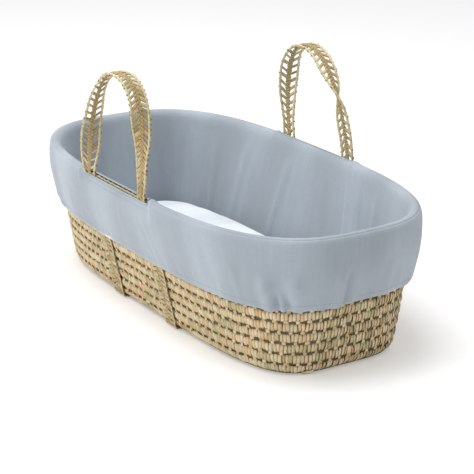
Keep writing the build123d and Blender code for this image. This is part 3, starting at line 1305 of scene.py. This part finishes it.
# ---- liner -----------------------------------------------------------------------------------------
@dataclass
class Liner:
    """Cotton liner: a padded inner wall rolled over the rim, two slots, and a skirt with an elastic hem.

    A pleat of the skirt is its angle, half width, height and the share of the drop where it starts, and a
    tuck of the inner cloth is its angle, half width and height.
    """
    wall: Wall
    cloth: float = 1.3 * MM
    seed: int = 5
    slot_head: float = -122.5 * MM
    slot_foot: float = 99.5 * MM
    seam_drop: float = 6 * MM
    inner_cut: float = -2.2 * MM
    outer_cut: float = 13 * MM
    fold: float = 4.2 * MM
    gather: float = 3.0 * MM
    crease: float = 3.0 * MM
    pleats: tuple[tuple[float, float, float, float], ...] = (
        (-1.49, 5 * MM, -3.0 * MM, 0.25), (-1.47, 9 * MM, 1.6 * MM, 0.2), (-0.60, 12 * MM, 6.0 * MM, 0.4),
        (-0.53, 5 * MM, -5.0 * MM, 0.62), (-0.49, 6 * MM, 4.6 * MM, 0.6), (-0.45, 5 * MM, -5.0 * MM, 0.64),
        (-0.37, 12 * MM, 5.4 * MM, 0.4),
        (-0.04, 5 * MM, -3.4 * MM, 0.35), (-0.08, 9 * MM, 3.4 * MM, 0.35), (0.12, 8 * MM, 3.2 * MM, 0.4),
        (-0.85, 10 * MM, 2.2 * MM, 0.3), (-1.12, 12 * MM, 2.0 * MM, 0.3))
    tucks: tuple[tuple[float, float, float], ...] = (
        (1.45, 4 * MM, -2.0 * MM), (1.43, 12 * MM, 2.6 * MM), (1.38, 10 * MM, 2.8 * MM),
        (1.21, 10 * MM, 3.2 * MM), (1.63, 9 * MM, 2.4 * MM), (1.9, 10 * MM, 2.6 * MM),
        (2.6, 9 * MM, 2.6 * MM), (3.1, 8 * MM, 3.0 * MM))
    foot_swell: float = 5.5 * MM
    foot_tight: float = 3.5 * MM
    side_y: float = 0.15
    ease: float = 1.02
    section_points: int = 500
    section_smoothings: int = 30
    slot_pull: float = 4.4 * MM
    slot_pucker: float = 3.4 * MM
    hem_turn: float = 20 * MM
    slot_sewing: float = 11 * MM
    slot_margin: float = 10 * MM

    def __post_init__(self) -> None:
        """Works out the section from the inside of the base to the turned hem."""
        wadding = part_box("liner_wadding")
        back = wadding[1].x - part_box("wall_course_12")[1].x - 2.7 * MM
        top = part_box("liner_fold")[1].z + 0.5 * MM
        self.hem_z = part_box("skirt_hem")[0].z
        corners = [
            (back, wadding[0].z + 3 * MM), (back + 0.2 * MM, 0.05), (back + 0.4 * MM, 0.12), (back, 0.19),
            (back - 0.4 * MM, top - 16 * MM), (back + 0.8 * MM, top - 7 * MM),
            (back + 4.5 * MM, top - 2 * MM), (1.0 * MM, top), (6.5 * MM, top - 1.0 * MM),
            (10.5 * MM, top - 4.5 * MM), (13 * MM, top - 12 * MM),
            (15.0 * MM, top - 26 * MM), (16.4 * MM, top - 44 * MM), (16.0 * MM, top - 64 * MM),
            (14.6 * MM, top - 84 * MM), (12.8 * MM, top - 103 * MM), (11.4 * MM, top - 116 * MM),
            (10.6 * MM, self.hem_z + 3 * MM), (9.8 * MM, self.hem_z), (7.6 * MM, self.hem_z + 0.4 * MM),
            (7.0 * MM, self.hem_z + 4 * MM), (6.8 * MM, self.hem_z + 8 * MM)]
        path = np.array(corners)
        for smoothings in (self.section_smoothings, 0):
            far = distances(path)
            path = along_track(np.linspace(0, far[-1], self.section_points), far, path)
            smooth(path, smoothings)
        self.far = distances(path)
        self.out, self.height = path[:, 0], path[:, 1]
        self.crest = self.far[np.argmax(self.height)]
        self.top = self.height.max()
        self.ruler, self.angles = self.wall.ruler(0.2)
        self.length = self.ruler[-1]

    def folds(self, along: Points, seed: int, count: int, size: tuple[float, float]) -> Points:
        """Soft ridges at random places round the liner.

        Args:
            along: distance round.
            seed: random draws.
            count: number of ridges.
            size: least and greatest half width.

        Returns:
            Heights around 0, at most about 1.
        """
        draw = random.Random(seed)
        total = np.zeros_like(along)
        for _ in range(count):
            spot = draw.uniform(0, self.length)
            half = draw.uniform(*size)
            height = draw.uniform(0.35, 1.0) * draw.choice((-1, 1, 1))
            gap = np.abs(np.mod(along - spot + self.length / 2, self.length) - self.length / 2)
            total += height * bump_at(gap, half)
        return np.tanh(total)

    def surface(self, u: Points, along: Points) -> Points:
        """Places the cloth.

        Args:
            u: share of the way round.
            along: distance along the section.

        Returns:
            Points of the cloth.
        """
        z = np.interp(along, self.far, self.height)
        offset = np.interp(along, self.far, self.out)
        s = np.mod(u, 1.0) * self.length
        angle = np.interp(s, self.ruler, self.angles)
        down = np.clip((self.top - z) / (self.top - self.hem_z), 0, 1)
        offset = offset + np.where(along < self.crest, -self.hung(s, z), self.drape(s, down, angle))
        x = self.wall.at(angle, z, offset)[..., 0]
        side = np.abs(np.sin(angle)) > 0.5
        zone = (smoothstep((x - self.slot_head + 16 * MM) / (14 * MM))
                * smoothstep((self.slot_foot + 16 * MM - x) / (14 * MM)) * side)
        drop = along - self.crest
        offset -= self.slot_pull * zone * bump_at(np.maximum(drop - 14 * MM, 0), 26 * MM) * (drop > 0)
        point = self.wall.at(angle, z, offset)
        for end, sign in ((self.slot_head, -1), (self.slot_foot, 1)):
            gap = (x - end) * sign
            pucker = bump_at(gap - 9 * MM, 8 * MM) * (gap > -6 * MM) * side
            point[..., 2] += self.slot_pucker * pucker * bump_at(drop, 16 * MM)
        return point

    def at_angle(self, angle: float) -> float:
        """Distance round of a position given as an angle."""
        return float(np.interp(angle % (2 * np.pi), self.angles, self.ruler))

    def drape(self, s: Points, down: Points, angle: Points) -> Points:
        """How far the skirt's folds stand out at distances round and shares of its drop.

        Args:
            s: distances round.
            down: shares of the drop from the crest to the hem.
            angle: the same places as angles.

        Returns:
            Distances outwards.
        """
        ends = np.abs(np.cos(angle)) ** 1.5
        foot = np.clip(np.cos(angle), 0, 1) ** 3
        broad = self.folds(s, self.seed, 44, (14 * MM, 40 * MM))
        ripple = self.folds(s + 0.03 * down, self.seed + 2, 70, (7 * MM, 18 * MM))
        pucker = self.folds(s, self.seed + 1, 120, (5 * MM, 10 * MM))
        folds = self.fold * (broad * smoothstep(down * 1.8) + 0.55 * ripple * smoothstep((down - 0.2) * 1.6))
        hem = (self.gather * pucker * smoothstep((down - 0.66) * 3.4)
               * (1 - 0.7 * smoothstep((down - 0.93) * 16)))
        for place, width, height, start in self.pleats:
            gap = s - self.at_angle(place) - 0.012 * (down - 1)
            hem = hem + height * bump_at(gap, width) * smoothstep((down - start) * 4)
        shape = self.foot_swell * np.sin(np.pi * np.clip(down, 0, 1)) ** 0.8 - self.foot_tight * down ** 3
        return (folds + hem) * (0.5 + 0.7 * ends + 0.35 * foot) + foot * shape

    def hung(self, s: Points, z: Points) -> Points:
        """How far the inner cloth's folds stand in at distances round and heights.

        Args:
            s: distances round.
            z: heights.

        Returns:
            Distances inwards.
        """
        depth = np.clip((self.top - z) / (self.top - 0.012), 0, 1)
        narrow = self.folds(s + 0.02 * depth, self.seed + 3, 80, (6 * MM, 15 * MM))
        broad = self.folds(s, self.seed + 4, 34, (18 * MM, 50 * MM))
        held = smoothstep((depth - 0.05) * 4) * (1 - 0.85 * smoothstep((depth - 0.7) * 5))
        sewn = sum(height * bump_at(s - self.at_angle(angle), width) for angle, width, height in self.tucks)
        hang = self.crease * (0.9 * narrow + broad)
        return (0.5 * (hang + np.hypot(hang, 0.8 * MM)) + sewn) * held

    def cloth_band(self, name: str, start: float, end: float, columns: int, rows: int, nodes: Sequence[str]) -> None:
        """Makes one sewn panel of the liner, with the slots cut out.

        Args:
            name: the piece's name.
            start, end: distances along the section.
            columns, rows: faces each way.
            nodes: the CAD nodes that it stands for.
        """
        size = (self.length, end - start)
        bm = wrapped_grid(columns, rows, lambda u, v: self.surface(u, start + v * (end - start)), size)
        layer = bm.loops.layers.uv["UVMap"]

        def in_slot(face: bmesh.types.BMFace) -> bool:
            """Whether a face is in one of the two slots.

            Args:
                face: the face.

            Returns:
                True if it is cut away.
            """
            middle = face.calc_center_median()
            drop = start + sum(loop[layer].uv.y for loop in face.loops) / 4 - self.crest
            return (self.slot_head < middle.x < self.slot_foot and abs(middle.y) > self.side_y
                    and -self.inner_cut < drop < self.outer_cut)
        bmesh.ops.delete(bm, geom=[face for face in bm.faces if in_slot(face)], context="FACES")
        face_out(bm)
        face_towards(bm, max(bm.faces, key=lambda face: face.calc_center_median().z).normal.z)
        piece = as_piece(name, bm, Finish.LINER, "basket", nodes)
        thicken(piece, self.cloth)

    def loop_tube(self, track: Points, wide: float, thick: float) -> bmesh.types.BMesh:
        """A closed flat piping round a closed track.

        Args:
            track: the piping's middle line.
            wide, thick: half width and half thickness.

        Returns:
            The piping.
        """
        track = np.vstack([track, track[:1]])
        far = distances(track)

        def shape(u: Points, v: Points) -> Points:
            """Places the piping's skin.

            Args:
                u, v: shares of the way along and round.

            Returns:
                The points.
            """
            spot = along_track(u * far[-1], far, track)
            turn = 2 * np.pi * v
            out = np.sign(spot[:, 1])
            return spot + np.column_stack([np.zeros_like(u), out * thick * np.cos(turn), wide * np.sin(turn)])
        bm = wrapped_grid(round(far[-1] / (2 * MM)), 10, shape, (far[-1], 0.02))
        face_out(bm)
        return bm

    def binding(self, side: Side) -> None:
        """The folded binding round a slot's edges.

        Args:
            side: the long side.
        """
        u = np.linspace(0, 1, 3001)
        rows = {}
        for key, drop in (("outer", self.outer_cut), ("inner", -self.inner_cut)):
            track = self.surface(u, np.full_like(u, self.crest + drop))
            keep = ((track[:, 0] > self.slot_head) & (track[:, 0] < self.slot_foot)
                    & (track[:, 1] * side.value > self.side_y))
            part = track[keep]
            rows[key] = part[np.argsort(part[:, 0])]
        ends = []
        for x in (self.slot_foot, self.slot_head):
            column = np.argmin(np.abs(self.surface(u, np.full_like(u, self.crest))[:, 0] - x)
                               + 10 * (np.sign(np.sin(np.interp(u * self.length, self.ruler, self.angles)))
                                       != side.value))
            drops = np.linspace(self.outer_cut, -self.inner_cut, 12)[1:-1]
            ends.append(self.surface(np.full_like(drops, u[column]), self.crest + drops))
        track = np.vstack([rows["outer"], ends[0], rows["inner"][::-1], ends[1][::-1]])
        bm = self.loop_tube(track, 1.7 * MM, 1.5 * MM)
        name = side.name.lower()
        as_piece(f"{name}_slot_piping", bm, Finish.BINDING, "basket", [f"{name}_slot_binding"])

    def stitches(self, name: str, drop: float, keep: Callable[[Vector], bool],
                 pitch: float = 4.4 * MM) -> None:
        """A row of stitches at one distance below the crest.

        Args:
            name: the piece's name.
            drop: distance along the cloth from the crest.
            keep: says which places are sewn.
            pitch: length of a stitch with its gap.
        """
        u = np.linspace(0, 1, 6001)
        track = self.surface(u, np.full_like(u, self.crest + drop))
        far = distances(track)
        stitch = bmesh.new()
        bmesh.ops.create_cube(stitch, size=1.0)
        bmesh.ops.scale(stitch, verts=stitch.verts, vec=(0.66 * pitch, 0.9 * MM, 0.7 * MM))
        bmesh.ops.bevel(stitch, geom=stitch.edges, offset=0.25 * MM, segments=1, affect="EDGES",
                        profile=0.5, material=-1)
        whole = bmesh.new()
        for number in range(int(far[-1] / pitch)):
            ends = [Vector(along_track((number + share) * pitch, far, track)[0]) for share in (0.0, 0.66)]
            if not keep(ends[0]):
                continue
            along = (ends[1] - ends[0]).normalized()
            out = along.cross(Vector((0, 0, 1))).normalized()
            turn = Matrix((along, along.cross(out), out)).transposed().to_4x4()
            middle = (ends[0] + ends[1]) / 2 - 0.1 * MM * out
            stamp(whole, stitch.copy(), Matrix.Translation(middle) @ turn)
        stitch.free()
        whole.loops.layers.uv.verify()
        as_piece(name, whole, Finish.THREAD, "basket")

    def wadding(self) -> None:
        """The soft padding between the palm wall and the inner cloth."""
        low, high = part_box("liner_wadding")
        wall_back = high.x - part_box("wall_course_12")[1].x + 2.6 * MM
        wall_front = wall_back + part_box("liner_inner_wall")[1].x - high.x + 0.6 * MM
        middle, top = (low.z + high.z) / 2, high.z - 2 * MM
        levels = [low.z, low.z, middle, top, top, middle, low.z]
        offsets = [wall_front, wall_back, wall_back, wall_back, wall_front, wall_front, wall_front]

        def shape(u: Points, v: Points) -> Points:
            """Places the padding's skin, with soft lumps in front.

            Args:
                u, v: shares of the way along and round.

            Returns:
                The points.
            """
            z, out = round_corners(v, levels, offsets)
            lump = self.folds(u * self.length + 0.3 * z, 77, 90, (8 * MM, 22 * MM))
            return self.wall.at(2 * np.pi * u, z, out + 0.35 * MM * lump * (v > 0.5))
        bm = wrapped_grid(260, 42, shape, (self.length, 0.45))
        face_out(bm)
        piece = as_piece("liner_padding", bm, Finish.WADDING, "basket", ["liner_wadding"])

    def elastic(self) -> None:
        """The flat elastic inside the hem."""
        low, high = self.hem_z + 1.5 * MM, self.hem_z + 6.5 * MM
        back, front = 8.3 * MM, 8.9 * MM

        def shape(u: Points, v: Points) -> Points:
            """Runs round the elastic's four corners.

            Args:
                u, v: shares of the way along and round.

            Returns:
                The points.
            """
            angle = np.interp(u * self.length, self.ruler, self.angles)
            pull = self.foot_tight * np.clip(np.cos(angle), 0, 1) ** 3
            z, out = round_corners(v, [low, high, high, low, low], [back, back, front, front, back])
            return self.wall.at(angle, z, out - pull)
        bm = wrapped_grid(400, 4, shape, (self.length, 0.012))
        face_out(bm)
        as_piece("hem_band", bm, Finish.WEBBING, "basket", ["hem_elastic"])

    def floor(self) -> None:
        """The cloth that lies on the base."""
        low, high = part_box("liner_floor")
        size = high - low

        def shape(u: Points, v: Points) -> Points:
            """Places the cloth, slightly rumpled.

            Args:
                u, v: shares of the way round and outwards.

            Returns:
                The points.
            """
            x, y = oblong(2 * np.pi * u, v * size.x / 2, v * size.y / 2, self.wall.base_squareness)
            ripple = 0.35 * MM * np.sin(31 * x + 17 * np.sin(9 * y)) * np.sin(23 * y)
            return np.column_stack([x, y, high.z - 0.4 * MM + ripple])
        bm = wrapped_grid(220, 40, shape, (size.x, size.y))
        face_out(bm)
        face_towards(bm, next(iter(bm.faces)).normal.z)
        layer = bm.loops.layers.uv["UVMap"]
        for face in bm.faces:
            for loop in face.loops:
                loop[layer].uv = loop.vert.co[:2]
        piece = as_piece("liner_base_cloth", bm, Finish.LINER, "basket", ["liner_floor"])
        thicken(piece, self.cloth)

    def dress(self) -> None:
        """Makes the panels, bindings, stitching, wadding, floor and elastic."""
        seam = self.crest + self.seam_drop
        self.cloth_band("liner_lining", 0.0, seam, 620, 70, ["liner_inner_wall", "liner_fold"])
        self.cloth_band("liner_skirt_cloth", seam, self.far[-1], 760, 54, ["liner_skirt", "skirt_hem"])
        for side in Side:
            self.binding(side)

        def by_slot(spot: Vector) -> bool:
            """Whether a place lies along a slot."""
            margin = self.slot_margin
            return self.slot_head - margin < spot.x < self.slot_foot + margin and abs(spot.y) > self.side_y
        self.stitches("slot_stitching", self.outer_cut + self.slot_sewing, by_slot)
        self.stitches("hem_stitching", self.far[-1] - self.crest - self.hem_turn, lambda spot: True)
        self.wadding()
        self.elastic()
        self.floor()


# ---- mattress --------------------------------------------------------------------------------------
@dataclass
class Mattress:
    """Foam mattress in its cover, under a fitted jersey sheet."""
    squareness: float = 4.2
    swell: float = 5 * MM
    side_swell: float = 2.5 * MM
    crown: float = 12 * MM
    corner: float = 9 * MM
    voxel: float = 6 * MM
    sheet_gap: float = 1.2 * MM
    sheet_thick: float = 0.8 * MM
    sheet_return: float = 45 * MM
    pressure: float = 4.0
    frames: int = 20
    smoothings: int = 3

    def __post_init__(self) -> None:
        """Reads the mattress's size."""
        self.low, self.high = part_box("fitted_sheet")
        self.half = (self.high - self.low) / 2

    def inside(self, x: float, y: float, inset: float) -> float:
        """Place in the plan drawn in by inset: under 1 is inside."""
        return (abs(x / (self.half.x - inset)) ** self.squareness
                + abs(y / (self.half.y - inset)) ** self.squareness) ** (1 / self.squareness)

    def blank(self) -> bpy.types.Object:
        """The slack block that the pad starts from.

        Returns:
            The new object, with a remesh modifier.
        """
        inset = self.side_swell + self.sheet_gap + 1 * MM
        base = self.low.z + self.sheet_gap + 0.2 * MM
        top = self.high.z - self.swell + 1 * MM
        corner = self.corner
        ease = corner * 0.3
        heights = [base, base, base + ease, base + corner, top - corner, top - ease, top, top]
        insets = [0.0, corner, ease, 0.0, 0.0, ease, corner, 0.0]
        shares = [0.0, 1.0, 1.0, 1.0, 1.0, 1.0, 1.0, 0.0]

        def shape(u: Points, v: Points) -> Points:
            """Runs round the block's section.

            Args:
                u, v: shares of the way along and round.

            Returns:
                The points.
            """
            z, round_in, share = round_corners(v, heights, insets, shares)
            draw_in = inset + round_in
            plan = oblong(2 * np.pi * u, share * (self.half.x - draw_in), share * (self.half.y - draw_in),
                          self.squareness)
            return np.column_stack([*plan, z])
        bm = wrapped_grid(96, 7, shape)
        face_out(bm)
        made = linked("mattress_blank", as_mesh("mattress_blank", bm))
        even = made.modifiers.new("even", "REMESH")
        even.mode = "VOXEL"
        even.voxel_size = self.voxel
        return made

    def applied(self, thing: bpy.types.Object) -> bpy.types.Mesh:
        """The mesh of an object with its modifiers applied."""
        graph = bpy.context.evaluated_depsgraph_get()
        return bpy.data.meshes.new_from_object(thing.evaluated_get(graph))

    def inflate(self) -> bmesh.types.BMesh:
        """Swells the block with a cloth simulation, held within the space that the mattress has.

        Returns:
            The swollen pad.
        """
        thing = self.blank()
        start = self.applied(thing)
        thing.modifiers.clear()
        thing.data = start
        rest = np.array([vert.co[:] for vert in start.vertices])
        swollen = rest.copy()
        cloth = thing.modifiers.new("swell", "CLOTH")
        cloth.settings.quality = 4
        cloth.settings.mass = 0.4
        cloth.settings.use_pressure = True
        cloth.settings.uniform_pressure_force = self.pressure
        cloth.settings.effector_weights.gravity = 0.0
        scene = bpy.context.scene
        for number in range(1, self.frames + 1):
            scene.frame_set(number)
        blown = self.applied(thing)
        swollen = np.array([vert.co[:] for vert in blown.vertices])
        scene.frame_set(1)
        bpy.data.objects.remove(thing)
        move = swollen - rest
        cap = np.where(rest[:, 2:] > (self.low.z + self.high.z) / 2, self.swell, self.side_swell)
        reach = np.linalg.norm(move, axis=1, keepdims=True)
        move *= np.minimum(1.0, cap / np.maximum(reach, 1e-9))
        bm = bmesh.new()
        bm.from_mesh(start)
        for vert, place in zip(bm.verts, rest + move):
            vert.co = place
        for _ in range(self.smoothings):
            bmesh.ops.smooth_vert(bm, verts=bm.verts, factor=0.5, use_axis_x=True, use_axis_y=True,
                                  use_axis_z=True)
        floor = self.low.z + self.sheet_gap
        for vert in bm.verts:
            spread = self.inside(vert.co.x, vert.co.y, 0.0)
            if vert.co.z > (self.low.z + self.high.z) / 2:
                vert.co.z += self.crown * (1.25 - min(spread, 1.0) ** 3.6)
            vert.co.z = max(vert.co.z, floor)
            edge = self.inside(vert.co.x, vert.co.y, self.sheet_gap)
            if edge > 1:
                vert.co.x /= edge
                vert.co.y /= edge
        face_out(bm)
        return bm

    def dress(self) -> None:
        """Makes the pad, the fitted sheet over it and the sheet's elastic."""
        pad = self.inflate()
        sheet = pad.copy()
        piece = as_piece("mattress_pad", pad, Finish.TICKING, "mattress", ["mattress_core", "mattress_cover"])
        normals = [vert.normal.copy() for vert in sheet.verts]
        for vert, normal in zip(sheet.verts, normals):
            wave = noise.noise(vert.co * 16.0) + 0.5 * noise.noise(vert.co * 45.0)
            vert.co += normal * (self.sheet_gap * 0.8 + 0.35 * MM * wave)
        gone = [face for face in sheet.faces if face.normal.z < -0.5 and
                self.inside(*face.calc_center_median()[:2], self.sheet_return) < 1]
        bmesh.ops.delete(sheet, geom=gone, context="FACES")
        made = as_piece("jersey_sheet", sheet, Finish.SHEET, "mattress", ["fitted_sheet"])
        thicken(made, self.sheet_thick)
        self.elastic()

    def elastic(self) -> None:
        """The elastic round the sheet's opening underneath."""
        def shape(u: Points, v: Points) -> Points:
            """Places the elastic's skin.

            Args:
                u, v: shares of the way along and round.

            Returns:
                The points.
            """
            turn = 2 * np.pi * v
            out = 1.8 * MM * np.cos(turn) - self.sheet_return
            plan = oblong(2 * np.pi * u, self.half.x + out, self.half.y + out, self.squareness)
            return np.column_stack([*plan, self.low.z + 0.7 * MM + 0.5 * MM * np.sin(turn)])
        bm = wrapped_grid(220, 8, shape, (1.6, 0.01))
        face_out(bm)
        as_piece("sheet_edge_elastic", bm, Finish.WEBBING, "mattress", ["sheet_elastic"])


# ---- studio ----------------------------------------------------------------------------------------
@dataclass
class Studio:
    """Floor, soft light and camera."""
    azimuth: float = 57.55
    elevation: float = 19.08
    distance: float = 2.983
    aim: Vector = field(default_factory=lambda: Vector((0.0328, 0.0075, 0.120)))
    lens: float = 128.56
    sensor: float = 36.0

    def build(self) -> None:
        """Sets the stage."""
        bpy.context.scene.view_settings.view_transform = "Standard"
        self.floor()
        self.lamp("key", (-1.0, -3.4, 1.0), 1.8, 33.0)
        self.lamp("top", (-0.3, -0.5, 2.8), 2.0, 66.0)
        self.sky()
        self.camera()

    def floor(self) -> None:
        """A wide pale floor."""
        bm = bmesh.new()
        bmesh.ops.create_grid(bm, x_segments=1, y_segments=1, size=14)
        made = linked("floor", as_mesh("floor", bm))
        # The floor's glow of 0.26 is painted light.
        made.data.materials.append(StudioFinish("paper_floor", (0.82, 0.82, 0.82), 0.26).make())

    def lamp(self, name: str, place: Sequence[float], size: float, power: float) -> None:
        """A square soft lamp that points at the basket.

        Args:
            name: the lamp's name.
            place: where it stands.
            size: its side.
            power: its power in watts.
        """
        data = bpy.data.lights.new(name, "AREA")
        data.energy = power
        data.size = size
        made = linked(name, data)
        made.location = place
        made.rotation_euler = (self.aim - Vector(place)).to_track_quat("-Z", "Y").to_euler()

    def sky(self) -> None:
        """An even white surround."""
        world = bpy.data.worlds.new("surround")
        world.use_nodes = True
        back = world.node_tree.nodes["Background"]
        back.inputs["Color"].default_value = (1.0, 1.0, 1.0, 1.0)
        back.inputs["Strength"].default_value = 0.58
        bpy.context.scene.world = world

    def camera(self) -> None:
        """The camera, looking down the basket from its foot end."""
        azimuth, elevation = math.radians(self.azimuth), math.radians(self.elevation)
        back = Vector((math.sin(azimuth) * math.cos(elevation), -math.cos(azimuth) * math.cos(elevation),
                       math.sin(elevation)))
        data = bpy.data.cameras.new("camera")
        data.lens = self.lens
        data.sensor_width = self.sensor
        data.clip_end = 60
        made = linked("camera", data)
        made.location = self.aim + back * self.distance
        made.rotation_euler = back.to_track_quat("Z", "Y").to_euler()
        bpy.context.scene.camera = made


def main() -> None:
    """Builds the basket piece by piece."""
    logging.basicConfig(level=logging.INFO, format="%(message)s")
    wall = Wall()
    PalmBasket(wall).dress()
    for end in ("head", "foot"):
        CarryStrap(end).dress(wall)
    CarryHandle(Side.LEFT, 0.030, 2.6, 180.0, ((-20 * MM, 110 * MM), (50 * MM, 190 * MM)), 0.92, (0.0, 0.3),
                0.66, 0.4).dress(wall)
    CarryHandle(Side.RIGHT, -0.036, 2.2, 0.0, ((20 * MM, 190 * MM), (70 * MM, 170 * MM))).dress(wall)
    Liner(wall).dress()
    Mattress().dress()
    Studio().build()
    bpy.context.view_layer.update()


if __name__ == "__main__":
    main()
